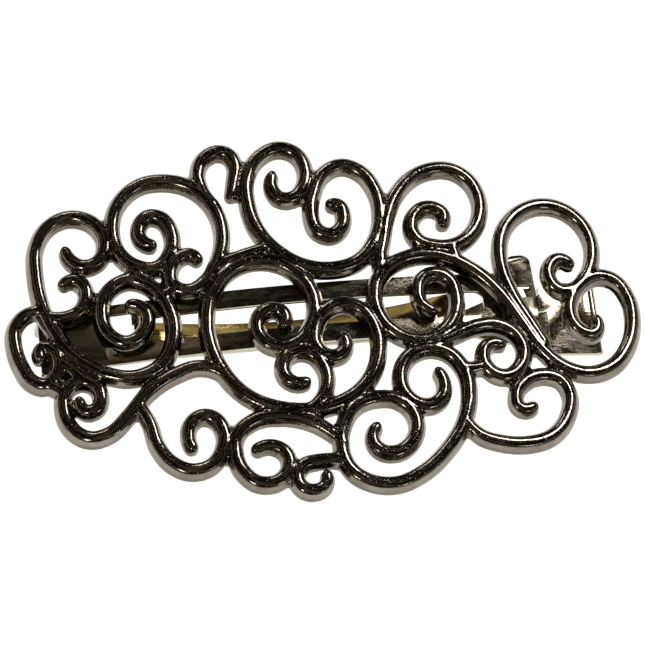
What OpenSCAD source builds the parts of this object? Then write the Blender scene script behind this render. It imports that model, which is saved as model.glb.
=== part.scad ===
// Hair barrette: a bowed openwork scroll plate on a squeeze-release clasp.
// The clasp lies along X with its hinge at -X. The plate faces +Z, and the closed barrette
// rests on the two ends of its arm at z = 0, with the origin under the middle of the plate.

/* [Scroll plate] */
// Length of the scroll plate along the clasp
plate_length = 85; // [76:1:104]
// Width of the scroll plate across the clasp
plate_width = 51.3; // [46:0.5:62]
// Thickness of the casting, from its flat back to the crest of a scroll
plate_t = 2.4; // [1.6:0.1:3.2]
// Width of a scroll at the back of the casting
stroke_w = 2.1; // [1.7:0.05:2.6]
// Width of a scroll at the tip of its curl
tip_w = 1.5; // [1.2:0.05:2]
// Widest gap between two scrolls that the casting fills
cast_gap = 0.3; // [0.2:0.05:0.4]
// Radius of the lengthwise bow, measured at the crest of the scrolls
bow_r = 170; // [150:5:260]
// Height of the closed barrette over the surface it lies on
overall_h = 13.5; // [13:0.1:15]

/* [Base bar] */
// Distance from the hinge pin to the middle of the catch
clasp_span = 63.5; // [58:0.5:68]
// Place of the hinge pin along the plate
hinge_x = -36.5; // [-37.5:0.1:-35]
// Offset of the clasp's centre line from the middle of the plate
clasp_y = 0.8; // [-1:0.1:2]
// Width of the base bar
bar_w = 8.4; // [7.6:0.1:10]
// Thickness of the spring steel of the base bar
bar_t = 0.7; // [0.5:0.05:0.9]
// Width of each rail beside the long window
rail_w = 2.45; // [2:0.05:2.9]
// Thickness of the solder between the plate and the base bar
solder_t = 0.15; // [0.1:0.05:0.3]

/* [Hinge] */
// Radius of the hinge pin
pin_r = 0.6; // [0.5:0.05:0.75]
// Running clearance of the arm's knuckle around the pin
pin_gap = 0.05; // [0.03:0.01:0.08]
// Wall of the arm's knuckle around the pin
knuckle_wall = 0.6; // [0.5:0.05:0.8]
// Height of the pin above the surface the barrette lies on
pin_z = 1.9; // [1.8:0.1:2.4]

/* [Arm] */
// Thickness of the arm
arm_t = 0.8; // [0.6:0.05:1]
// Width of the arm along its middle
arm_w = 3.6; // [3:0.1:4.4]
// Width of the thumb pad
pad_w = 10.4; // [8:0.1:11.4]
// Length of the thumb pad past the catch
pad_length = 7; // [5:0.1:8]
// Height of the arm's middle above the line through its ends
arm_rise = 1.6; // [1.2:0.1:2]

/* [Tension bow] */
// Thickness of the tension bow
tension_t = 0.4; // [0.3:0.05:0.5]
// Width of the tension bow
tension_w = 3.4; // [2.8:0.1:4]
// Clearance between the middle of the tension bow and the closed arm
tension_gap = 0.25; // [0.2:0.05:0.5]

/* [Catch] */
// Length of each catch prong along the clasp
prong_length = 3; // [2.4:0.1:3.6]
// Thickness of each catch prong
prong_t = 0.7; // [0.6:0.05:0.8]
// Gap between the two prongs at rest
prong_gap = 1.4; // [1.3:0.05:1.8]
// How far each barb stands out from its prong
barb_out = 0.4; // [0.3:0.05:0.5]
// Distance of a wing's tip from the centre line
wing_reach = 7.6; // [6.6:0.1:8.6]
// Clearance of the arm's window around the barbs
catch_gap = 0.25; // [0.2:0.05:0.35]

/* [Hidden] */

// Sizes of the pressed steel that never change by themselves
ear_t = 0.7;
ear_play = 0.15;
pin_head_r = 1.05;
pin_head_t = 0.35;
lip_r = 0.6;
dimple_r = 1.3;
dimple_h = 0.45;
dimple_at = [0.62, 0.27];
window_play_x = 0.6;
frame_wall = 1.3;
neck_gap = 0.06;
wing_length = 3.4;
wing_skew = 0.8;
wing_round = 1.3;
wing_drop = 12;
solder_r = 0.8;
slot_end_r = 1.2;
bar_past_pin = 1.4;
bar_end_gap = 3.4;
tension_past_pin = 11.5;
tension_before_catch = 13;
head_length = 1.6;
head_play = 0.05;
anchor_past_pin = 9.1;
anchor_size = [3.6, 5.6];
ear_sides = 64;
corner_r = 1.2;
arm_taper = 4;

// Numbers of sides of round shapes, and lengths that cuts run past what they cut
log_sides = 202;
hole_sides = 48;
corner_sides = 32;
tip_sides = 16;
reach = 80;
past = 1;

// The bow is one cylinder along Y: every layer of the plate and the bar shares its axis
axis_z = overall_h - bow_r;
plate_back_r = bow_r - plate_t;
bar_top_r = plate_back_r - solder_t;
bar_back_r = bar_top_r - bar_t;
function bow_z(r, x) = axis_z + sqrt(r * r - x * x);

// Places that follow from the driving sizes
catch_x = hinge_x + clasp_span;
bar_end_x = catch_x - bar_end_gap;
arm_end_x = catch_x + prong_length / 2 + window_play_x + frame_wall;
arm_mid_x = (hinge_x + arm_end_x) / 2;
arm_half = (arm_end_x - hinge_x) / 2;
arm_r = (arm_half * arm_half + arm_rise * arm_rise) / (2 * arm_rise);
arm_axis_z = pin_z + arm_rise - arm_r;
function arm_z(x) = arm_axis_z + sqrt(arm_r * arm_r - (x - arm_mid_x) * (x - arm_mid_x));
knuckle_r = pin_r + pin_gap + knuckle_wall;
knuckle_w = bar_w - 2 * ear_t - 2 * ear_play;
window_half = prong_gap / 2 + prong_t + barb_out + catch_gap;
frame_half = window_half + frame_wall;
anchor_x = hinge_x + anchor_past_pin;
tension_from = hinge_x + tension_past_pin;
tension_to = catch_x - tension_before_catch;
tension_x = (tension_from + tension_to) / 2;
tension_half = (tension_to - tension_from) / 2;
head_w = bar_w - 2 * rail_w - 2 * head_play;
tension_low = arm_z(tension_x) + arm_t / 2 + tension_gap;
tension_rise = bow_z(bar_back_r, tension_half - tension_x) - tension_low - tension_t / 2;
tension_r = (tension_half * tension_half + tension_rise * tension_rise) / (2 * tension_rise);
prong_top = bow_z(bar_top_r, catch_x);

// Layout of the scrolls, drawn 85 long and 51.3 wide about the middle layout_mid.
// Each scroll is a smooth curve through its points, from one end to the other.
layout_size = [85, 51.3];
layout_mid = [-1.3, 0.2];
curve_steps = 3;
run_length = 12;
taper_points = 3;
snap = 1 / 256;
SCROLLS = [
    // West scroll, wound twice at its inner end
    [[-34.9, 12.9], [-34.2, 11.6], [-32.5, 10.6], [-30.6, 11.2], [-29.7, 13.4], [-30.6, 16.2],
     [-32.6, 17.7], [-35, 18], [-37.4, 16.8], [-38.9, 14.2], [-39.2, 10.5], [-38.7, 6],
     [-37.4, 2.2], [-34.6, -2.2], [-31, -5], [-27.2, -6], [-23.6, -4.6], [-21.8, -1],
     [-22.2, 3.4], [-24.3, 6.6], [-27.3, 7.8], [-30, 6.4], [-31, 3.2], [-30, 0.2],
     [-28, -1], [-26, -0.2], [-25, 1.8], [-25.6, 3.6], [-26.8, 4.2]],
    // West curl
    [[-35.4, 8.7], [-34.2, 8.9], [-33, 7.9], [-32.8, 6], [-33.7, 4.4], [-35.6, 3.8], [-38, 4.3]],
    // North-west scroll
    [[-23.7, 12.4], [-24.8, 13.3], [-25, 15.1], [-23.8, 16.5], [-22, 16.1], [-20.8, 13.8],
     [-21.2, 10.8], [-23.2, 9], [-25.8, 9.6], [-28, 12], [-28.6, 15.2], [-27.4, 19],
     [-24.6, 21.2], [-21, 21.4], [-17.5, 20], [-15, 17], [-14.1, 13], [-14.9, 9.3],
     [-17, 6.2], [-19.4, 5.2], [-21.2, 6.2], [-21.3, 8.6], [-20.1, 10.1], [-18.5, 10.3],
     [-17.8, 9.7]],
    // North hook
    [[-12.3, 18.4], [-11.8, 20.4], [-11.4, 22.4], [-12.1, 24.2], [-13.6, 24.8], [-15.4, 24.1],
     [-16.5, 22], [-16.2, 19.6], [-14.9, 17.2]],
    // North heart
    [[-6.7, 20.2], [-6.8, 18.6], [-5.7, 17.1], [-4.1, 17.1], [-2.6, 18.6], [-2.1, 21],
     [-3.1, 23.5], [-5.6, 24.5], [-8.2, 23.4], [-10, 20.6], [-10.3, 17], [-9.4, 13],
     [-7, 9.5], [-3.6, 7.1], [0, 6.4], [3.6, 7.3], [6.2, 10.2], [7.3, 14], [6.9, 17.6],
     [5.3, 20.2], [2.8, 21.3], [0.3, 20.3], [-1.4, 17.4], [-2, 14.2], [-1.3, 12],
     [0.3, 11.3], [1.8, 12.2], [2.3, 14], [1.9, 15.4], [1, 15.7]],
    // Centre scroll, two rings that share the middle
    [[0.4, -3.7], [0.5, -5], [-0.6, -6], [-2.2, -5.8], [-3.4, -4.2], [-3.2, -1.8],
     [-1.6, 0.5], [0.8, 1.3], [3.2, 0.3], [4.7, -2.4], [4.8, -5.8], [3.6, -9],
     [1.2, -11.4], [-2, -12.8], [-5.5, -13.2], [-9, -12.6], [-12.6, -10.8], [-15.4, -7.6],
     [-17, -3.6], [-17.3, 0.5], [-16.2, 4.6], [-13.6, 7.5], [-10, 8.5], [-6.4, 7.5],
     [-3.9, 5], [-2.9, 1.8], [-3.7, -1.5], [-5.8, -3.7], [-8.2, -4.1], [-10.2, -2.9],
     [-10.8, -0.6], [-9.8, 1], [-8.2, 1.3], [-7, 0.3], [-7.1, -0.8]],
    // Centre curl
    [[-5.5, -9.4], [-6.9, -9.2], [-8, -7.8], [-7.7, -6], [-6, -5], [-4.1, -5.4],
     [-2.8, -7], [-2.4, -9.2], [-3.1, -11.4], [-4.8, -12.9]],
    // Far-west loop
    [[-38.9, 5.2], [-41, 5], [-42.5, 3.4], [-42.7, 0.6], [-42, -2.2], [-40.7, -4.5],
     [-39, -5.3], [-37.6, -4.2], [-37.1, -2.2], [-37.9, -0.4], [-39.2, -0.1], [-39.5, -1.2]],
    // South-west scroll with its long diagonal
    [[-34.8, -8.6], [-34, -9.8], [-32.6, -9.6], [-32, -7.8], [-33, -6], [-35, -5.6],
     [-36.7, -7], [-37, -9.4], [-36, -12], [-33.8, -13.6], [-31.2, -13.3], [-28.6, -11.2],
     [-25.6, -8.2], [-22, -6.3], [-18.6, -5.7], [-16.2, -6.8]],
    // South-west loop
    [[-27.2, -10], [-26, -12.6], [-25.3, -15.8], [-23.6, -18.5], [-21, -19.9], [-18.5, -19.4],
     [-16.9, -17.4], [-16.6, -15], [-17.6, -13.1], [-19.4, -12.6], [-20.8, -13.6],
     [-21.2, -15.2], [-20.9, -16.6]],
    // South loop
    [[-1.4, -18], [-3, -16.3], [-5.6, -14.6], [-9, -13.7], [-12.4, -13.9], [-14.8, -15.6],
     [-15.4, -18.2], [-14.6, -20.8], [-12.6, -22.6], [-10.3, -22.6], [-8.7, -21],
     [-8.8, -19], [-10.2, -17.8], [-12.4, -17.9]],
    // Small south curl
    [[-1.8, -20.6], [-4.6, -20.3], [-7, -20.9], [-7.8, -22.4], [-7.1, -23.9], [-5.6, -24.4],
     [-4.2, -23.7], [-3.9, -22.7]],
    // South-east scroll
    [[3.1, -16.6], [2.6, -18.2], [3.5, -19.6], [5.4, -20], [7.4, -19], [8.6, -16.8],
     [8.2, -14.4], [6.4, -12.7], [3.6, -12.3], [0.8, -13.3], [-1, -15.8], [-1.6, -19],
     [-0.6, -22], [1.8, -23.8], [5, -24.3], [8.6, -23], [12, -20.3], [14.8, -16.6],
     [16.1, -12.6], [15.8, -9], [14.2, -6.7], [11.6, -5.8], [9, -6.6], [7.4, -8.8],
     [7.3, -11.2], [8.5, -13.1], [10.5, -13.8], [12.3, -12.9], [12.9, -11], [12.5, -9.5]],
    // Far south-east loop
    [[15.3, -16.4], [16.8, -18.3], [19.6, -19.4], [23, -19.7], [26.6, -18.7], [29, -16],
     [29.7, -13], [28.7, -10.9], [26.5, -10.2], [24, -10.9], [22.4, -12.8], [22.6, -14.7],
     [24.2, -14.8]],
    // East curl under the long diagonal
    [[12.6, -5.2], [15.4, -4], [18.4, -2.9], [21, -2.8], [23.4, -4.2], [24.3, -6.6],
     [23.4, -9], [21.2, -10.2], [19.2, -9.2], [18.6, -7.2], [19.4, -5.8], [21, -5.6]],
    // North-east scroll
    [[15.6, 12.2], [15.8, 13.4], [14.9, 14.2], [13.2, 14.4], [11.7, 13.2], [11.2, 11.4],
     [12, 9.7], [14, 8.8], [16.6, 8.8], [19, 10.2], [20.6, 12.6], [21, 15.4], [20, 18.2],
     [17.8, 19.9], [15, 20.1], [12, 18.9], [9.6, 16.4], [8, 13], [7.2, 9.8], [6.4, 7.2]],
    // East ring, long diagonal and end loop
    [[12.4, -0.4], [11.3, 0.6], [11, 2.4], [11.9, 4.2], [13.8, 4.8], [15.5, 3.8],
     [16.1, 1.6], [15.7, -1], [14.1, -3.3], [11.6, -4.5], [8.8, -4.2], [6.4, -2.4],
     [5.2, 0.4], [5.5, 3.6], [7.3, 6], [10.2, 7.4], [13.6, 7.6], [17, 6.4], [20, 4.2],
     [22.6, 1], [24.6, -2.6], [26.6, -6.2], [29.4, -9], [32.8, -10], [36.2, -9],
     [38.8, -6.2], [40.1, -2.4], [39.9, 1], [38.3, 3.5], [36, 4.1], [33.6, 3],
     [31.9, 0.8], [31.4, -1.8], [32.6, -3.9], [34.4, -4.2], [35, -2.6]],
    // East loop
    [[32.1, 6], [30.9, 6.5], [29.5, 5.5], [29.2, 3.6], [30.4, 2], [32.3, 2.1], [34.2, 3.7],
     [35.5, 6.2], [35.8, 9], [34.8, 11.8], [32.6, 13.8], [29.6, 14.5], [26.4, 13.5],
     [24, 11.2], [22.9, 8.2], [22.9, 4.8], [23.9, 1.2], [25.5, -2.2], [27.2, -5.6]],
];
// Short bridges of metal that tie neighbouring scrolls together
BRIDGES = [
    [[-36.5, -2.6], [-34.8, -4.4], [-33, -6]],
    [[-38.6, -5.4], [-37.6, -6], [-36.8, -6.6]],
    [[-14.6, 8.6], [-12, 9.3], [-9, 10]],
    [[-26.4, 8.8], [-26, 8.3], [-25.6, 7.8]],
    [[-21.6, 5.4], [-22.3, 5], [-23, 4.6]],
    [[15.8, -8.8], [17.2, -8.9], [18.8, -8.6]],
    [[6.2, 6.2], [6.6, 7], [6.6, 8.4]],
    [[16.4, 8.6], [16.6, 7.6], [16.8, 6.8]],
];
// Places where the plate is soldered to the rails of the base bar
SOLDER = [[-21.8, -1.6], [-16.7, 3.6], [-3.3, 4], [-3.3, -1.8], [4.6, -2.2], [5.4, 3.5],
          [20.1, 4]];

function placed(p) = [(p.x - layout_mid.x) * plate_length / layout_size.x,
                      (p.y - layout_mid.y) * plate_width / layout_size.y];
function unit(v) = v / norm(v);

// Direction at b of the circle through a, b and c
function circle_tangent(a, b, c) =
    let (u = b - a, v = c - b) unit(u / norm(u) * norm(v) + v / norm(v) * norm(u));

// Direction at the far end of a chord, from the direction at its near end
function mirrored(t, chord) = 2 * (t * chord) * chord - t;
function tangent_at(p, i) =
    let (n = len(p) - 1)
    i == 0 ? mirrored(circle_tangent(p[0], p[1], p[2]), unit(p[1] - p[0]))
    : i == n ? mirrored(circle_tangent(p[n - 2], p[n - 1], p[n]), unit(p[n] - p[n - 1]))
    : circle_tangent(p[i - 1], p[i], p[i + 1]);

// A point of the cubic curve from a to b with the given end directions: its handles are those
// of a circular arc, so round stretches stay round
function arc_like(a, b, ta, tb, u) =
    let (l = norm(b - a), d = (b - a) / l,
         ha = 2 * l / (3 * (1 + ta * d)), hb = 2 * l / (3 * (1 + tb * d)))
    a * pow(1 - u, 3) + (a + ta * ha) * 3 * u * pow(1 - u, 2)
    + (b - tb * hb) * 3 * u * u * (1 - u) + b * pow(u, 3);
function route(p) = [
    for (i = [0 : len(p) - 2], k = [0 : curve_steps - 1])
        arc_like(p[i], p[i + 1], tangent_at(p, i), tangent_at(p, i + 1), k / curve_steps),
    p[len(p) - 1]
];

// Half the width of a scroll at sample i of n: it thins towards both curled ends
function half_width(i, n) =
    let (u = min(1, min(i, n - i) / (taper_points * curve_steps)))
    (tip_w + (stroke_w - tip_w) * sin(90 * u)) / 2;
function normal_at(r, i) =
    let (d = unit(r[min(i + 1, len(r) - 1)] - r[max(i - 1, 0)])) [-d.y, d.x];

// The nearest point of a fine square grid, so that neighbouring runs share their corners
function snapped(p) = [round(p.x / snap), round(p.y / snap)] * snap;

// One scroll as a flat shape, built in short runs so that a curl may touch itself
module scroll(points) {
    r = route([for (p = points) placed(p)]);
    n = len(r) - 1;
    for (start = [0 : run_length : n - 1]) {
        last = min(start + run_length, n);
        polygon(concat(
            [for (i = [start : last]) snapped(r[i] + normal_at(r, i) * half_width(i, n))],
            [for (i = [last : -1 : start]) snapped(r[i] - normal_at(r, i) * half_width(i, n))]
        ));
    }
    for (end = [0, n])
        translate(r[end]) circle(r = tip_w / 2, $fn = tip_sides);
}

// All the scrolls, with every gap too narrow to cast filled with metal
module scrolls() {
    offset(delta = -cast_gap / 2)
        offset(delta = cast_gap / 2)
            for (points = concat(SCROLLS, BRIDGES))
                scroll(points);
}

// A solid cylinder along Y, around the axis at x and z
module log(r, x, z, length = reach) {
    translate([x, length / 2, z]) rotate([90, 0, 0]) cylinder(h = length, r = r, $fn = log_sides);
}

// Everything between two radii of the common bow
module bowed(r_in, r_out) {
    difference() {
        log(r_out, 0, axis_z);
        log(r_in, 0, axis_z, reach + past);
    }
}

// A flat shape drawn in X and Z, with a thickness along Y from y0
module upright(y0, t) {
    translate([0, y0 + t, 0]) rotate([90, 0, 0]) linear_extrude(t) children();
}

// The casting: the layout gives its shape, and resize() its exact length and width
module scroll_plate() {
    color([0.2, 0.18, 0.17])
        resize([plate_length, plate_width, 0])
            intersection() {
                linear_extrude(overall_h + past) scrolls();
                bowed(plate_back_r, bow_r);
            }
}

module solder_joints() {
    color([0.62, 0.61, 0.58])
        for (p = SOLDER)
            intersection() {
                translate(placed(p)) cylinder(h = overall_h, r = solder_r, $fn = corner_sides);
                bowed(bar_top_r, plate_back_r);
            }
}

// A slot with round corners from x0 to x1
module slot(x0, x1, w, r) {
    translate([x0 + r, clasp_y - w / 2]) square([x1 - x0 - 2 * r, w]);
    translate([x0, clasp_y - w / 2 + r]) square([x1 - x0, w - 2 * r]);
    for (x = [x0 + r, x1 - r], y = [-1, 1])
        translate([x, clasp_y + y * (w / 2 - r)]) circle(r = r, $fn = corner_sides);
}

// One ear of the hinge, hanging from the bar's edge to the pin
module ear(y0) {
    top = bow_z(bar_back_r, hinge_x + pin_z) + bar_t / 2;
    upright(y0, ear_t)
        difference() {
            union() {
                translate([hinge_x, pin_z]) circle(r = pin_z, $fn = ear_sides);
                polygon([
                    [hinge_x - pin_z, pin_z], [hinge_x + pin_z, pin_z],
                    [hinge_x + pin_z, top],
                    [hinge_x - bar_past_pin, bow_z(bar_back_r, hinge_x - bar_past_pin) + bar_t / 2],
                ]);
            }
            translate([hinge_x, pin_z]) circle(r = pin_r, $fn = hole_sides);
        }
}

module base_bar() {
    color([0.58, 0.56, 0.5]) {
        intersection() {
            linear_extrude(overall_h)
                difference() {
                    slot(hinge_x - bar_past_pin, bar_end_x, bar_w, slot_end_r / 2);
                    slot(anchor_x + anchor_size.x / 2, bar_end_x - rail_w,
                         bar_w - 2 * rail_w, slot_end_r);
                    translate([anchor_x - anchor_size.x / 2, clasp_y - anchor_size.y / 2])
                        square(anchor_size);
                }
            bowed(bar_back_r, bar_top_r);
        }
        ear(clasp_y - bar_w / 2);
        ear(clasp_y + bar_w / 2 - ear_t);
    }
}

// The tension bow bends the other way: it hangs from the bar and nearly meets the closed arm.
// Its head, at the hinge end, is as wide as the bar's window lets it be.
module tension_bow() {
    z = tension_low + tension_t / 2 + tension_r;
    color([0.66, 0.56, 0.33])
        intersection() {
            difference() {
                log(tension_r + tension_t / 2, tension_x, z);
                log(tension_r - tension_t / 2, tension_x, z, reach + past);
            }
            log(bar_back_r, 0, axis_z);
            union() {
                translate([tension_x - tension_half * 2, clasp_y - tension_w / 2, 0])
                    cube([tension_half * 4, tension_w, overall_h]);
                translate([tension_from - past, clasp_y - head_w / 2, 0])
                    cube([head_length + past, head_w, overall_h]);
            }
        }
}

module hinge_pin() {
    length = bar_w + 2 * pin_head_t;
    color([0.5, 0.49, 0.46])
        translate([hinge_x, clasp_y, pin_z]) rotate([90, 0, 0]) {
            cylinder(h = length, r = pin_r, center = true, $fn = hole_sides);
            for (s = [-1, 1])
                translate([0, 0, s * (length - pin_head_t) / 2])
                    cylinder(h = pin_head_t, r = pin_head_r, center = true, $fn = hole_sides);
        }
}

// Outline of the arm from above: narrow along its middle, wide at the knuckle and the window
module arm_outline() {
    window_x = catch_x - prong_length / 2 - window_play_x;
    half = [knuckle_w / 2, arm_w / 2, frame_half];
    xs = [hinge_x, hinge_x + arm_taper, hinge_x + 2 * arm_taper,
          window_x - frame_wall - arm_taper, window_x - frame_wall, arm_end_x];
    hs = [half[0], half[0], half[1], half[1], half[2], half[2]];
    difference() {
        polygon(concat(
            [for (i = [0 : 5]) [xs[i], clasp_y - hs[i]]],
            [for (i = [5 : -1 : 0]) [xs[i], clasp_y + hs[i]]]
        ));
        translate([window_x, clasp_y - window_half])
            square([prong_length + 2 * window_play_x, 2 * window_half]);
    }
}

module thumb_pad() {
    tilt = asin((pin_z - lip_r) / pad_length);
    translate([arm_end_x, clasp_y, pin_z]) rotate([0, tilt, 0]) {
        translate([0, 0, -arm_t / 2]) linear_extrude(arm_t) {
            translate([-frame_wall / 2, -pad_w / 2 + corner_r])
                square([pad_length + frame_wall / 2, pad_w - 2 * corner_r]);
            translate([-frame_wall / 2 + corner_r, -pad_w / 2])
                square([pad_length + frame_wall / 2 - corner_r, pad_w]);
            for (s = [-1, 1])
                translate([corner_r - frame_wall / 2, s * (pad_w / 2 - corner_r)])
                    circle(r = corner_r, $fn = corner_sides);
        }
        translate([pad_length, pad_w / 2, 0]) rotate([90, 0, 0])
            cylinder(h = pad_w, r = lip_r, $fn = corner_sides);
        translate([pad_length * dimple_at.x, pad_w * dimple_at.y, arm_t / 2])
            cylinder(h = dimple_h, r = dimple_r, $fn = hole_sides);
    }
}

module arm() {
    color([0.52, 0.5, 0.45])
        difference() {
            union() {
                intersection() {
                    linear_extrude(overall_h) arm_outline();
                    difference() {
                        log(arm_r + arm_t / 2, arm_mid_x, arm_axis_z);
                        log(arm_r - arm_t / 2, arm_mid_x, arm_axis_z, reach + past);
                    }
                }
                upright(clasp_y - knuckle_w / 2, knuckle_w)
                    translate([hinge_x, pin_z]) circle(r = knuckle_r, $fn = hole_sides);
                thumb_pad();
            }
            upright(clasp_y - bar_w, 2 * bar_w)
                translate([hinge_x, pin_z]) circle(r = pin_r + pin_gap, $fn = hole_sides);
        }
}

// One half of the squeeze catch, drawn for the +Y side of the centre line: a neck at the bar,
// a prong that hangs through the arm's window with its barb outwards, and a finger wing, which
// sits a little to one side of the prong
module catch_half(wing_shift) {
    inner = prong_gap / 2;
    outer = inner + prong_t;
    x0 = catch_x - prong_length / 2;
    barb_z = arm_z(catch_x) - arm_t / 2 - catch_gap;
    neck_x = bar_end_x + neck_gap;
    top = prong_top;
    // Neck and root of the wing, level with the bar
    intersection() {
        translate([0, 0, top - 2 * bar_t])
            linear_extrude(overall_h)
                polygon([[neck_x, inner], [x0 + prong_length, inner],
                         [x0 + prong_length, outer + bar_t], [x0, outer + bar_t],
                         [neck_x, bar_w / 2 - slot_end_r]]);
        translate([0, -clasp_y, 0]) bowed(bar_back_r, bar_top_r);
    }
    // Prong with its barb
    translate([x0, 0, 0]) rotate([90, 0, 90]) linear_extrude(prong_length)
        polygon([[inner, top - bar_t / 2], [inner, arm_t / 2], [outer, arm_t / 2],
                 [outer + barb_out, barb_z - arm_t / 2], [outer + barb_out, barb_z],
                 [outer, barb_z], [outer, top - bar_t / 2]]);
    // Finger wing, tipped down and away from the plate
    translate([x0 + wing_shift, outer, top - bar_t / 2]) rotate([-wing_drop, 0, 0])
        translate([0, 0, -bar_t]) linear_extrude(bar_t) {
            square([wing_length, wing_reach - outer - wing_round]);
            translate([wing_round, 0]) square([wing_length - 2 * wing_round, wing_reach - outer]);
            for (x = [wing_round, wing_length - wing_round])
                translate([x, wing_reach - outer - wing_round]) circle(r = wing_round, $fn = corner_sides);
        }
}

module catch_prong_upper() {
    color([0.6, 0.58, 0.5]) translate([0, clasp_y, 0]) catch_half(-wing_skew / 2);
}

module catch_prong_lower() {
    color([0.6, 0.58, 0.5])
        translate([0, clasp_y, 0]) mirror([0, 1, 0]) catch_half(wing_skew);
}

scroll_plate();
solder_joints();
base_bar();
tension_bow();
hinge_pin();
arm();
catch_prong_upper();
catch_prong_lower();
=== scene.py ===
"""Hair barrette: a polished openwork casting on a spring-steel clasp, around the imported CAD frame."""
import math

import bmesh
import bpy
import numpy as np
from mathutils import Matrix, Vector


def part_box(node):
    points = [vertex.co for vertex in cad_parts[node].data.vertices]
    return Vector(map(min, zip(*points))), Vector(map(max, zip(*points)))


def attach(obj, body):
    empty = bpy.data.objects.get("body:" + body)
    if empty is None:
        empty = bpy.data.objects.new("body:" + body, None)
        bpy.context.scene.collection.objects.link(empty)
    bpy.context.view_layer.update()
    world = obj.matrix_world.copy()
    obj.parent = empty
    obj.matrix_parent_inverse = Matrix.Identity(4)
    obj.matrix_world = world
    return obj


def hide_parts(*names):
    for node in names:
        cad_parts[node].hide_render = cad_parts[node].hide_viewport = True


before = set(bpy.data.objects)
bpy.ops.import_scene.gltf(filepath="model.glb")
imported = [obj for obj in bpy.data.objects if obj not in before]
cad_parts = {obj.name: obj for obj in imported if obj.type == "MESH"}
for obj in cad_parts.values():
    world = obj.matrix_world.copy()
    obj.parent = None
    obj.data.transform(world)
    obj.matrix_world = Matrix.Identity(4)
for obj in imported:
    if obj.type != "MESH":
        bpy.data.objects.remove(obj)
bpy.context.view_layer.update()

MM = 0.001

# ---------------------------------------------------------------- camera and stage
CAMERA_AZIMUTH = math.radians(-15)
CAMERA_ELEVATION = math.radians(67.5)
CAMERA_ROLL = math.radians(-4.5)
CAMERA_DISTANCE = 420 * MM
CAMERA_TARGET = Vector((-0.74, -0.9, 11.34)) * MM
CAMERA_LENS = 178.2


def make_camera():
    """The camera looks at the target from its azimuth and elevation, turned about its own axis."""
    a, e = CAMERA_AZIMUTH, CAMERA_ELEVATION
    back = Vector((math.sin(a) * math.cos(e), -math.cos(a) * math.cos(e), math.sin(e)))
    level = Vector((1, 0, 0))
    level = (level - level.dot(back) * back).normalized()
    upright = back.cross(level)
    c, s = math.cos(CAMERA_ROLL), math.sin(CAMERA_ROLL)
    right = c * level + s * upright
    up = c * upright - s * level
    data = bpy.data.cameras.new("camera")
    data.lens = CAMERA_LENS
    data.clip_start = 0.01
    data.clip_end = 20
    camera = bpy.data.objects.new("camera", data)
    bpy.context.scene.collection.objects.link(camera)
    turned = Matrix((right, up, back)).transposed().to_4x4()
    camera.matrix_world = Matrix.Translation(CAMERA_TARGET + back * CAMERA_DISTANCE) @ turned
    bpy.context.scene.camera = camera


def make_light(name, direction, distance, size, watts, colour):
    """A rectangular soft light that faces the object from a direction."""
    data = bpy.data.lights.new(name, "AREA")
    data.shape = "RECTANGLE"
    data.size, data.size_y = size
    data.energy = watts
    data.color = colour
    light = bpy.data.objects.new(name, data)
    bpy.context.scene.collection.objects.link(light)
    towards = Vector(direction).normalized()
    light.location = towards * distance
    light.rotation_mode = "QUATERNION"
    light.rotation_quaternion = towards.to_track_quat("Z", "Y")


def new_tree(owner):
    """The node tree of a material or world, emptied, and a function that adds a node with its sockets set."""
    owner.use_nodes = True
    tree = owner.node_tree
    tree.nodes.clear()

    def add(kind, values=None, **settings):
        node = tree.nodes.new(kind)
        for key, value in settings.items():
            setattr(node, key, value)
        for key, value in (values or {}).items():
            node.inputs[key].default_value = value
        return node

    return tree, add


def set_ramp(node, stops):
    """Colour ramp stops as (place, colour) pairs."""
    ramp = node.color_ramp
    while len(ramp.elements) > 1:
        ramp.elements.remove(ramp.elements[-1])
    ramp.elements[0].position, ramp.elements[0].color = stops[0][0], (*stops[0][1], 1)
    for place, colour in stops[1:]:
        ramp.elements.new(place).color = (*colour, 1)


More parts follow.
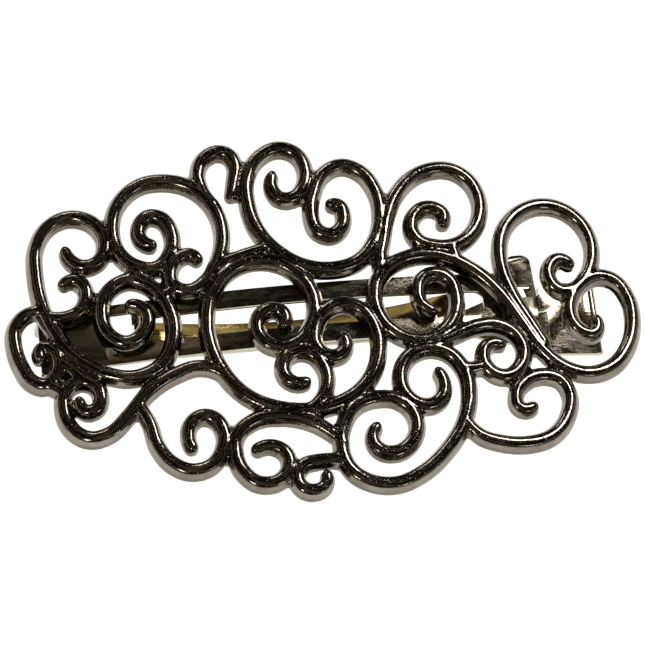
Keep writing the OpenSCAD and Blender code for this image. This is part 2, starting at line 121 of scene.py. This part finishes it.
def make_world():
    """A dark room with dim khaki patches, warmer on the left and cooler on the right, and pale low down."""
    world = bpy.data.worlds.new("room")
    bpy.context.scene.world = world
    tree, add = new_tree(world)
    place = add("ShaderNodeTexCoord")
    parts = add("ShaderNodeSeparateXYZ")
    height = add("ShaderNodeValToRGB")
    set_ramp(height, [(0.0, (0.5, 0.47, 0.4)), (0.1, (0.1, 0.09, 0.075)), (0.24, (0.012, 0.01, 0.009)),
                      (1.0, (0.006, 0.005, 0.005))])
    clouds = add("ShaderNodeTexNoise", {"Scale": 2.3, "Detail": 1.0})
    patches = add("ShaderNodeValToRGB")
    set_ramp(patches, [(0.52, (0, 0, 0)), (0.64, (0.16, 0.145, 0.115))])
    lit = add("ShaderNodeMixRGB", {"Fac": 1.0}, blend_type="ADD")
    side = add("ShaderNodeMapRange", {"From Min": -1.0, "From Max": 1.0})
    tint = add("ShaderNodeValToRGB")
    set_ramp(tint, [(0.0, (1.2, 1.0, 0.92)), (0.5, (1, 1, 1)), (1.0, (1.3, 1.32, 1.34))])
    mixed = add("ShaderNodeMixRGB", {"Fac": 1.0}, blend_type="MULTIPLY")
    background = add("ShaderNodeBackground", {"Strength": 1.0})
    output = add("ShaderNodeOutputWorld")
    link = tree.links.new
    link(place.outputs["Generated"], parts.inputs[0])
    link(parts.outputs["Z"], height.inputs["Fac"])
    link(parts.outputs["X"], side.inputs["Value"])
    link(side.outputs[0], tint.inputs["Fac"])
    link(place.outputs["Generated"], clouds.inputs["Vector"])
    link(clouds.outputs["Fac"], patches.inputs["Fac"])
    link(height.outputs["Color"], lit.inputs["Color1"])
    link(patches.outputs["Color"], lit.inputs["Color2"])
    link(lit.outputs["Color"], mixed.inputs["Color1"])
    link(tint.outputs["Color"], mixed.inputs["Color2"])
    link(mixed.outputs["Color"], background.inputs["Color"])
    link(background.outputs[0], output.inputs["Surface"])


def make_floor():
    """A plain pale floor, low enough for the arm to hang open above it."""
    half = FLOOR_HALF
    mesh = bpy.data.meshes.new("floor")
    corners = [(-half, -half, 0), (half, -half, 0), (half, half, 0), (-half, half, 0)]
    mesh.from_pydata(corners, [], [(0, 1, 2, 3)])
    floor = bpy.data.objects.new("floor", mesh)
    bpy.context.scene.collection.objects.link(floor)
    floor.location.z = FLOOR_Z
    material = bpy.data.materials.new("floor_paper")
    tree, add = new_tree(material)
    noise = add("ShaderNodeTexNoise", {"Scale": 400.0, "Detail": 3.0})
    place = add("ShaderNodeTexCoord")
    ramp = add("ShaderNodeValToRGB")
    set_ramp(ramp, [(0.3, (0.86, 0.86, 0.85)), (0.7, (0.9, 0.9, 0.89))])
    shader = add("ShaderNodeBsdfPrincipled", {"Roughness": 0.9, "Specular IOR Level": 0.1,
                                              "Emission Color": (1, 1, 1, 1), "Emission Strength": 0.82})
    output = add("ShaderNodeOutputMaterial")
    link = tree.links.new
    link(place.outputs["Object"], noise.inputs["Vector"])
    link(noise.outputs["Fac"], ramp.inputs["Fac"])
    link(ramp.outputs["Color"], shader.inputs["Base Color"])
    link(shader.outputs[0], output.inputs["Surface"])
    mesh.materials.append(material)


FLOOR_Z = -76 * MM
FLOOR_HALF = 12
make_camera()
make_world()
make_floor()
make_light("window_light", (0.5, 0.4, 0.77), 0.55, (0.22, 0.14), 0.9, (1.0, 0.96, 0.96))
make_light("low_light", (-0.62, -0.58, 0.53), 0.5, (0.07, 0.07), 0.22, (1.0, 0.98, 0.95))
make_light("back_light", (-0.25, 0.85, 0.46), 0.6, (0.22, 0.04), 0.22, (1.0, 0.97, 0.94))
make_light("front_light", (0.45, -0.8, 0.4), 0.6, (0.16, 0.04), 0.12, (1.0, 0.96, 0.9))
bpy.context.scene.view_settings.view_transform = "Standard"

# ---------------------------------------------------------------- materials


def metal(name, bright, dull, roughness, grain, pits, streak=(1, 1, 1), wall_shade=1.0, wall_shade_tint=(1, 1, 1)):
    """Plated metal: its colour and gloss drift, its hollows are darkened with painted shade, and its skin has
    fine pits and waves.
    streak stretches the pattern along an axis, as drawn or rolled steel has it. The last two arguments say
    how much painted shade darkens the upright sides and what khaki tint of painted reflection they get."""
    material = bpy.data.materials.new(name)
    tree, add = new_tree(material)
    link = tree.links.new
    place = add("ShaderNodeTexCoord")
    stretched = add("ShaderNodeMapping", {"Scale": streak})
    link(place.outputs["Object"], stretched.inputs["Vector"])

    # Colour: slow drift of the plating, and painted shade that darkens the hollows
    drift = add("ShaderNodeTexNoise", {"Scale": 260.0, "Detail": 4.0, "Roughness": 0.6})
    link(stretched.outputs[0], drift.inputs["Vector"])
    colour = add("ShaderNodeValToRGB")
    set_ramp(colour, [(0.32, dull), (0.62, bright)])
    link(drift.outputs["Fac"], colour.inputs["Fac"])
    geometry = add("ShaderNodeNewGeometry")
    hollow_shade = add("ShaderNodeMapRange", {"From Min": 0.44, "From Max": 0.5, "To Min": 0.45, "To Max": 1.0})
    link(geometry.outputs["Pointiness"], hollow_shade.inputs["Value"])
    hollow_shaded = add("ShaderNodeMixRGB", {"Fac": 1.0}, blend_type="MULTIPLY")
    link(colour.outputs["Color"], hollow_shaded.inputs["Color1"])
    link(hollow_shade.outputs[0], hollow_shaded.inputs["Color2"])
    # Painted shade on the upright sides, tinted khaki as a painted reflection of the table
    facing = add("ShaderNodeSeparateXYZ")
    link(geometry.outputs["Normal"], facing.inputs[0])
    upright = add("ShaderNodeMapRange", {"From Min": 0.05, "From Max": 0.4})
    link(facing.outputs["Z"], upright.inputs["Value"])
    sides = add("ShaderNodeMixRGB", {"Color1": (*(c * wall_shade for c in wall_shade_tint), 1), "Color2": (1, 1, 1, 1)})
    link(upright.outputs[0], sides.inputs["Fac"])
    wall_shaded = add("ShaderNodeMixRGB", {"Fac": 1.0}, blend_type="MULTIPLY")
    link(hollow_shaded.outputs["Color"], wall_shaded.inputs["Color1"])
    link(sides.outputs["Color"], wall_shaded.inputs["Color2"])

    # Gloss: smears and rubbed places
    smear = add("ShaderNodeTexNoise", {"Scale": 700.0, "Detail": 5.0, "Roughness": 0.65})
    link(stretched.outputs[0], smear.inputs["Vector"])
    gloss = add("ShaderNodeMapRange", {"From Min": 0.35, "From Max": 0.7, "To Min": roughness[0],
                                       "To Max": roughness[1]})
    link(smear.outputs["Fac"], gloss.inputs["Value"])

    # Relief: waves of the polished skin, then scattered pits
    waves = add("ShaderNodeTexNoise", {"Scale": 900.0, "Detail": 3.0, "Roughness": 0.55})
    link(stretched.outputs[0], waves.inputs["Vector"])
    spots = add("ShaderNodeTexVoronoi", {"Scale": 2400.0, "Randomness": 1.0})
    link(stretched.outputs[0], spots.inputs["Vector"])
    dent = add("ShaderNodeMapRange", {"From Min": 0.06, "From Max": 0.2, "To Min": 0.0, "To Max": 1.0})
    link(spots.outputs["Distance"], dent.inputs["Value"])
    wavy = add("ShaderNodeBump", {"Strength": grain, "Distance": 0.05 * MM})
    link(waves.outputs["Fac"], wavy.inputs["Height"])
    pitted = add("ShaderNodeBump", {"Strength": pits, "Distance": 0.03 * MM})
    link(dent.outputs[0], pitted.inputs["Height"])
    link(wavy.outputs["Normal"], pitted.inputs["Normal"])

    shader = add("ShaderNodeBsdfPrincipled", {"Metallic": 1.0})
    output = add("ShaderNodeOutputMaterial")
    link(wall_shaded.outputs["Color"], shader.inputs["Base Color"])
    link(gloss.outputs[0], shader.inputs["Roughness"])
    link(pitted.outputs["Normal"], shader.inputs["Normal"])
    link(shader.outputs[0], output.inputs["Surface"])
    return material


# The casting's upright sides get painted shade with a khaki tint of painted reflection
casting_metal = metal("black_nickel_casting", (0.3, 0.275, 0.235), (0.19, 0.165, 0.135), (0.07, 0.2),
                      0.9, 0.9, wall_shade=0.42, wall_shade_tint=(1.0, 0.93, 0.75))
steel = metal("nickel_plated_steel", (0.56, 0.52, 0.4), (0.38, 0.35, 0.26), (0.1, 0.26),
              0.3, 0.2, (1, 3, 1))
bow_metal = metal("gold_toned_spring_steel", (0.56, 0.45, 0.2), (0.34, 0.27, 0.11), (0.14, 0.3),
                  0.25, 0.15, (1, 4, 1))
solder_metal = metal("tin_solder", (0.5, 0.49, 0.46), (0.34, 0.33, 0.3), (0.3, 0.5), 0.6, 0.3)

# ---------------------------------------------------------------- scroll plate
# Sizes of the casting in millimetres: the bow, the outline of a scroll, its section and its round ends
BOW_R = 170.0
OVERALL_H = 13.5
PLATE_T = 2.4
WALL_H = 1.35
STROKE_W = 2.35
TIP_W = 2.0
TAPER_POINTS = 3
SAMPLES = 6
LEDGE_SHARE = 0.84
FOOT_R = 0.14
DOME_STEPS = 5
CAP_STEPS = 4
CAP_DROP = 0.3
CAP_TURN = 0.94
WALL_LEAN = 0.98
RIM_SHARE = 0.93
RIM_DROP = 0.1
LEDGE_RISE = 0.05
FOOT_PLAY = 0.02
VOXEL = 0.2
SMOOTHING = 5
SHRINK = 0.5
SWELL = -0.52
AXIS_Z = OVERALL_H - BOW_R
LAYOUT_MID = np.array((-1.3, 0.2))

# The scrolls in millimetres, each a smooth curve through its points, from one end to the other
SCROLLS = {
    "west_scroll": [
        (-34.9, 12.9), (-34.2, 11.6), (-32.5, 10.6), (-30.6, 11.2), (-29.7, 13.4), (-30.6, 16.2),
        (-32.6, 17.7), (-35, 18), (-37.4, 16.8), (-38.9, 14.2), (-39.2, 10.5), (-38.7, 6),
        (-37.4, 2.2), (-34.6, -2.2), (-31, -5), (-27.2, -6), (-23.6, -4.6), (-21.8, -1),
        (-22.2, 3.4), (-24.3, 6.6), (-27.3, 7.8), (-30, 6.4), (-31, 3.2), (-30, 0.2),
        (-28, -1), (-26, -0.2), (-25, 1.8), (-25.6, 3.6), (-26.8, 4.2),
    ],
    "west_curl": [
        (-35.4, 8.7), (-34.2, 8.9), (-33, 7.9), (-32.8, 6), (-33.7, 4.4), (-35.6, 3.8), (-38, 4.3),
    ],
    "north_west_scroll": [
        (-23.7, 12.4), (-24.8, 13.3), (-25, 15.1), (-23.8, 16.5), (-22, 16.1), (-20.8, 13.8),
        (-21.2, 10.8), (-23.2, 9), (-25.8, 9.6), (-28, 12), (-28.6, 15.2), (-27.4, 19),
        (-24.6, 21.2), (-21, 21.4), (-17.5, 20), (-15, 17), (-14.1, 13), (-14.9, 9.3),
        (-17, 6.2), (-19.4, 5.2), (-21.2, 6.2), (-21.3, 8.6), (-20.1, 10.1), (-18.5, 10.3),
        (-17.8, 9.7),
    ],
    "north_hook": [
        (-12.3, 18.4), (-11.8, 20.4), (-11.4, 22.4), (-12.1, 24.2), (-13.6, 24.8), (-15.4, 24.1),
        (-16.5, 22), (-16.2, 19.6), (-14.9, 17.2),
    ],
    "north_heart": [
        (-6.7, 20.2), (-6.8, 18.6), (-5.7, 17.1), (-4.1, 17.1), (-2.6, 18.6), (-2.1, 21),
        (-3.1, 23.5), (-5.6, 24.5), (-8.2, 23.4), (-10, 20.6), (-10.3, 17), (-9.4, 13),
        (-7, 9.5), (-3.6, 7.1), (0, 6.4), (3.6, 7.3), (6.2, 10.2), (7.3, 14), (6.9, 17.6),
        (5.3, 20.2), (2.8, 21.3), (0.3, 20.3), (-1.4, 17.4), (-2, 14.2), (-1.3, 12),
        (0.3, 11.3), (1.8, 12.2), (2.3, 14), (1.9, 15.4), (1, 15.7),
    ],
    "centre_scroll": [
        (0.4, -3.7), (0.5, -5), (-0.6, -6), (-2.2, -5.8), (-3.4, -4.2), (-3.2, -1.8),
        (-1.6, 0.5), (0.8, 1.3), (3.2, 0.3), (4.7, -2.4), (4.8, -5.8), (3.6, -9),
        (1.2, -11.4), (-2, -12.8), (-5.5, -13.2), (-9, -12.6), (-12.6, -10.8), (-15.4, -7.6),
        (-17, -3.6), (-17.3, 0.5), (-16.2, 4.6), (-13.6, 7.5), (-10, 8.5), (-6.4, 7.5),
        (-3.9, 5), (-2.9, 1.8), (-3.7, -1.5), (-5.8, -3.7), (-8.2, -4.1), (-10.2, -2.9),
        (-10.8, -0.6), (-9.8, 1), (-8.2, 1.3), (-7, 0.3), (-7.1, -0.8),
    ],
    "centre_curl": [
        (-5.5, -9.4), (-6.9, -9.2), (-8, -7.8), (-7.7, -6), (-6, -5), (-4.1, -5.4),
        (-2.8, -7), (-2.4, -9.2), (-3.1, -11.4), (-4.8, -12.9),
    ],
    "far_west_loop": [
        (-38.9, 5.2), (-41, 5), (-42.5, 3.4), (-42.7, 0.6), (-42, -2.2), (-40.7, -4.5),
        (-39, -5.3), (-37.6, -4.2), (-37.1, -2.2), (-37.9, -0.4), (-39.2, -0.1), (-39.5, -1.2),
    ],
    "south_west_scroll_with_its_long_diagonal": [
        (-34.8, -8.6), (-34, -9.8), (-32.6, -9.6), (-32, -7.8), (-33, -6), (-35, -5.6),
        (-36.7, -7), (-37, -9.4), (-36, -12), (-33.8, -13.6), (-31.2, -13.3), (-28.6, -11.2),
        (-25.6, -8.2), (-22, -6.3), (-18.6, -5.7), (-16.2, -6.8),
    ],
    "south_west_loop": [
        (-27.2, -10), (-26, -12.6), (-25.3, -15.8), (-23.6, -18.5), (-21, -19.9), (-18.5, -19.4),
        (-16.9, -17.4), (-16.6, -15), (-17.6, -13.1), (-19.4, -12.6), (-20.8, -13.6),
        (-21.2, -15.2), (-20.9, -16.6),
    ],
    "south_loop": [
        (-1.4, -18), (-3, -16.3), (-5.6, -14.6), (-9, -13.7), (-12.4, -13.9), (-14.8, -15.6),
        (-15.4, -18.2), (-14.6, -20.8), (-12.6, -22.6), (-10.3, -22.6), (-8.7, -21),
        (-8.8, -19), (-10.2, -17.8), (-12.4, -17.9),
    ],
    "small_south_curl": [
        (-1.8, -20.6), (-4.6, -20.3), (-7, -20.9), (-7.8, -22.4), (-7.1, -23.9), (-5.6, -24.4),
        (-4.2, -23.7), (-3.9, -22.7),
    ],
    "south_east_scroll": [
        (3.1, -16.6), (2.6, -18.2), (3.5, -19.6), (5.4, -20), (7.4, -19), (8.6, -16.8),
        (8.2, -14.4), (6.4, -12.7), (3.6, -12.3), (0.8, -13.3), (-1, -15.8), (-1.6, -19),
        (-0.6, -22), (1.8, -23.8), (5, -24.3), (8.6, -23), (12, -20.3), (14.8, -16.6),
        (16.1, -12.6), (15.8, -9), (14.2, -6.7), (11.6, -5.8), (9, -6.6), (7.4, -8.8),
        (7.3, -11.2), (8.5, -13.1), (10.5, -13.8), (12.3, -12.9), (12.9, -11), (12.5, -9.5),
    ],
    "far_south_east_loop": [
        (15.3, -16.4), (16.8, -18.3), (19.6, -19.4), (23, -19.7), (26.6, -18.7), (29, -16),
        (29.7, -13), (28.7, -10.9), (26.5, -10.2), (24, -10.9), (22.4, -12.8), (22.6, -14.7),
        (24.2, -14.8),
    ],
    "east_curl_under_the_long_diagonal": [
        (12.6, -5.2), (15.4, -4), (18.4, -2.9), (21, -2.8), (23.4, -4.2), (24.3, -6.6),
        (23.4, -9), (21.2, -10.2), (19.2, -9.2), (18.6, -7.2), (19.4, -5.8), (21, -5.6),
    ],
    "north_east_scroll": [
        (15.6, 12.2), (15.8, 13.4), (14.9, 14.2), (13.2, 14.4), (11.7, 13.2), (11.2, 11.4),
        (12, 9.7), (14, 8.8), (16.6, 8.8), (19, 10.2), (20.6, 12.6), (21, 15.4), (20, 18.2),
        (17.8, 19.9), (15, 20.1), (12, 18.9), (9.6, 16.4), (8, 13), (7.2, 9.8), (6.4, 7.2),
    ],
    "east_ring": [
        (12.4, -0.4), (11.3, 0.6), (11, 2.4), (11.9, 4.2), (13.8, 4.8), (15.5, 3.8),
        (16.1, 1.6), (15.7, -1), (14.1, -3.3), (11.6, -4.5), (8.8, -4.2), (6.4, -2.4),
        (5.2, 0.4), (5.5, 3.6), (7.3, 6), (10.2, 7.4), (13.6, 7.6), (17, 6.4), (20, 4.2),
        (22.6, 1), (24.6, -2.6), (26.6, -6.2), (29.4, -9), (32.8, -10), (36.2, -9),
        (38.8, -6.2), (40.1, -2.4), (39.9, 1), (38.3, 3.5), (36, 4.1), (33.6, 3),
        (31.9, 0.8), (31.4, -1.8), (32.6, -3.9), (34.4, -4.2), (35, -2.6),
    ],
    "east_loop": [
        (32.1, 6), (30.9, 6.5), (29.5, 5.5), (29.2, 3.6), (30.4, 2), (32.3, 2.1), (34.2, 3.7),
        (35.5, 6.2), (35.8, 9), (34.8, 11.8), (32.6, 13.8), (29.6, 14.5), (26.4, 13.5),
        (24, 11.2), (22.9, 8.2), (22.9, 4.8), (23.9, 1.2), (25.5, -2.2), (27.2, -5.6),
    ],
}
# Short bridges of metal that tie neighbouring scrolls together
BRIDGES = [
    [(-36.5, -2.6), (-34.8, -4.4), (-33, -6)],
    [(-38.6, -5.4), (-37.6, -6), (-36.8, -6.6)],
    [(-14.6, 8.6), (-12, 9.3), (-9, 10)],
    [(-26.4, 8.8), (-26, 8.3), (-25.6, 7.8)],
    [(-21.6, 5.4), (-22.3, 5), (-23, 4.6)],
    [(15.8, -8.8), (17.2, -8.9), (18.8, -8.6)],
    [(6.2, 6.2), (6.6, 7), (6.6, 8.4)],
    [(16.4, 8.6), (16.6, 7.6), (16.8, 6.8)],
]


def unit(v):
    return v / np.linalg.norm(v)


def circle_tangent(a, b, c):
    """Direction at b of the circle through a, b and c."""
    u, v = b - a, c - b
    lu, lv = np.linalg.norm(u), np.linalg.norm(v)
    return unit(u / lu * lv + v / lv * lu)


def mirrored(tangent, chord):
    """Direction at the far end of a chord, from the direction at its near end."""
    return 2 * tangent.dot(chord) * chord - tangent


def route(points):
    """Points along the smooth curve: each stretch is a cubic whose handles are those of a circular arc."""
    p = [np.array(q, float) - LAYOUT_MID for q in points]
    tangents = [circle_tangent(*p[i - 1:i + 2]) for i in range(1, len(p) - 1)]
    tangents.insert(0, mirrored(tangents[0], unit(p[1] - p[0])))
    tangents.append(mirrored(tangents[-1], unit(p[-1] - p[-2])))
    made = []
    for a, b, ta, tb in zip(p, p[1:], tangents, tangents[1:]):
        length = np.linalg.norm(b - a)
        chord = (b - a) / length
        ha = 2 * length / (3 * (1 + ta.dot(chord)))
        hb = 2 * length / (3 * (1 + tb.dot(chord)))
        for k in range(SAMPLES):
            u = k / SAMPLES
            made.append(a * (1 - u) ** 3 + (a + ta * ha) * 3 * u * (1 - u) ** 2
                        + (b - tb * hb) * 3 * u * u * (1 - u) + b * u ** 3)
    return np.array(made + [p[-1]])


def half_widths(count):
    """Half the width of a scroll at each of its samples: it thins towards both curled ends."""
    i = np.arange(count)
    u = np.minimum(1, np.minimum(i, count - 1 - i) / (TAPER_POINTS * SAMPLES))
    return (TIP_W + (STROKE_W - TIP_W) * np.sin(u * math.pi / 2)) / 2


def section(half):
    """A scroll's section as (across, height) pairs: a flat back, steep walls, a narrow ledge, a dome."""
    ledge = half * LEDGE_SHARE
    rise = WALL_H + LEDGE_RISE
    right = [(half - FOOT_R, 0), (half, FOOT_R), (half * WALL_LEAN, WALL_H - RIM_DROP),
             (half * RIM_SHARE, WALL_H)]
    for k in range(DOME_STEPS):
        a = k / DOME_STEPS * math.pi / 2
        right.append((ledge * math.cos(a), rise + (PLATE_T - rise) * math.sin(a)))
    left = [(-x, z) for x, z in reversed(right)]
    return [*right, (0.0, PLATE_T), *left]


def swept(points):
    """Vertices and faces of one scroll, closed by round ends."""
    path = route(points)
    halves = half_widths(len(path))
    steps = np.gradient(path, axis=0)
    tangents = steps / np.linalg.norm(steps, axis=1)[:, None]
    rings = [(p, t, h, 0.0) for p, t, h in zip(path, tangents, halves)]
    for k in range(1, CAP_STEPS + 1):
        a = k / CAP_STEPS * math.pi / 2 * CAP_TURN
        first, last = halves[0], halves[-1]
        drop = CAP_DROP * (1 - math.cos(a))
        start = path[0] - tangents[0] * first * math.sin(a)
        end = path[-1] + tangents[-1] * last * math.sin(a)
        rings.insert(0, (start, tangents[0], first * math.cos(a), drop))
        rings.append((end, tangents[-1], last * math.cos(a), drop))
    verts = []
    for p, t, half, drop in rings:
        across = np.array((-t[1], t[0]))
        drawn = max(half, FOOT_R + FOOT_PLAY)
        for x, z in section(drawn):
            q = p + across * x * (half / drawn)
            verts.append((q[0], q[1], z * (1 - drop * z / PLATE_T)))
    n = len(section(1.0))
    faces = []
    for r in range(len(rings) - 1):
        for k in range(n):
            a, b = r * n + k, r * n + (k + 1) % n
            faces.append((a, a + n, b + n, b))
    faces.append(tuple(range(n)))
    faces.append(tuple(reversed(range((len(rings) - 1) * n, len(rings) * n))))
    return verts, faces


def new_piece(name, mesh, material, body, slot, *nodes):
    """A shown piece that rides on a body and stands for CAD nodes."""
    piece = bpy.data.objects.new(name, mesh)
    bpy.context.scene.collection.objects.link(piece)
    mesh.materials.clear()
    mesh.materials.append(material)
    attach(piece, body)
    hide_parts(*nodes)
    return piece


def relaxed(co, edges, rounds):
    """Vertex places after rounds of smoothing that keep the volume."""
    count = np.bincount(edges.ravel(), minlength=len(co))[:, None]
    for strength in (SHRINK, SWELL) * rounds:
        total = np.zeros_like(co)
        np.add.at(total, edges[:, 0], co[edges[:, 1]])
        np.add.at(total, edges[:, 1], co[edges[:, 0]])
        co = co + strength * (total / count - co)
    return co


def remeshed(mesh, voxel):
    """The mesh rebuilt as one closed skin of even faces."""
    holder = bpy.data.objects.new("holder", mesh)
    bpy.context.scene.collection.objects.link(holder)
    modifier = holder.modifiers.new("skin", "REMESH")
    modifier.mode = "VOXEL"
    modifier.voxel_size = voxel
    shown = holder.evaluated_get(bpy.context.evaluated_depsgraph_get())
    made = bpy.data.meshes.new_from_object(shown)
    bpy.data.objects.remove(holder)
    return made


def make_scroll_plate():
    """All scrolls as one casting: swept, melted together, smoothed, fitted to the CAD outline and bowed."""
    verts, faces = [], []
    for points in [*SCROLLS.values(), *BRIDGES]:
        v, f = swept(points)
        faces += [tuple(i + len(verts) for i in face) for face in f]
        verts += v
    rough = bpy.data.meshes.new("rough_casting")
    rough.from_pydata(verts, [], faces)
    mesh = remeshed(rough, VOXEL)
    n = len(mesh.vertices)
    co = np.empty(n * 3, np.float32)
    mesh.vertices.foreach_get("co", co)
    edges = np.empty(len(mesh.edges) * 2, np.int32)
    mesh.edges.foreach_get("vertices", edges)
    co = relaxed(co.reshape(-1, 3).astype(float), edges.reshape(-1, 2), SMOOTHING)

    low, high = (np.array(c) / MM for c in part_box("scroll_plate"))
    for axis in (0, 1):
        share = (co[:, axis] - co[:, axis].min()) / np.ptp(co[:, axis])
        co[:, axis] = low[axis] + share * (high[axis] - low[axis])
    up = np.clip(co[:, 2], 0, PLATE_T)
    radius = BOW_R - PLATE_T + up
    co[:, 2] = AXIS_Z + np.sqrt(radius ** 2 - co[:, 0] ** 2)
    mesh.vertices.foreach_set("co", (co * MM).astype(np.float32).ravel())
    mesh.shade_smooth()
    mesh.update()
    print("scroll_casting:", len(mesh.polygons), "faces")
    new_piece("scroll_casting", mesh, casting_metal, "base", "casting", "scroll_plate")


make_scroll_plate()

# ---------------------------------------------------------------- clasp
SHARP = math.radians(28)
FLAT = math.radians(0.3)
WELD = 0.001


def softened(node, name, material, body, slot, edge, segments=3):
    """The CAD node's own solid with every sharp edge rounded, as pressed and tumbled steel has it."""
    bm = bmesh.new()
    bm.from_mesh(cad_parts[node].data)
    bmesh.ops.scale(bm, vec=Vector((1, 1, 1)) / MM, verts=bm.verts)
    bmesh.ops.remove_doubles(bm, verts=bm.verts, dist=WELD)
    bmesh.ops.dissolve_limit(bm, angle_limit=FLAT, verts=bm.verts, edges=bm.edges)
    sharp = [e for e in bm.edges if len(e.link_faces) == 2 and e.calc_face_angle(0) > SHARP]
    bmesh.ops.bevel(bm, geom=sharp, offset=edge / MM, segments=segments, profile=0.5,
                    affect="EDGES", clamp_overlap=True)
    bmesh.ops.scale(bm, vec=Vector((1, 1, 1)) * MM, verts=bm.verts)
    mesh = bpy.data.meshes.new(name)
    bm.to_mesh(mesh)
    bm.free()
    mesh.shade_smooth()
    mesh.set_sharp_from_angle(angle=SHARP)
    return new_piece(name, mesh, material, body, slot, node)


softened("base_bar", "clasp_bar", steel, "base", "spring_steel", 0.12 * MM)
softened("tension_bow", "tension_strip", bow_metal, "base", "bow_steel", 0.08 * MM)
softened("hinge_pin", "hinge_rivet", steel, "base", "pin_steel", 0.1 * MM)
softened("arm", "clasp_arm", steel, "arm", "spring_steel", 0.14 * MM)
softened("catch_prong_upper", "catch_upper", steel, "catch_upper", "spring_steel", 0.12 * MM)
softened("catch_prong_lower", "catch_lower", steel, "catch_lower", "spring_steel", 0.12 * MM)
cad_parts["solder_joints"].data.materials.clear()
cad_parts["solder_joints"].data.materials.append(solder_metal)
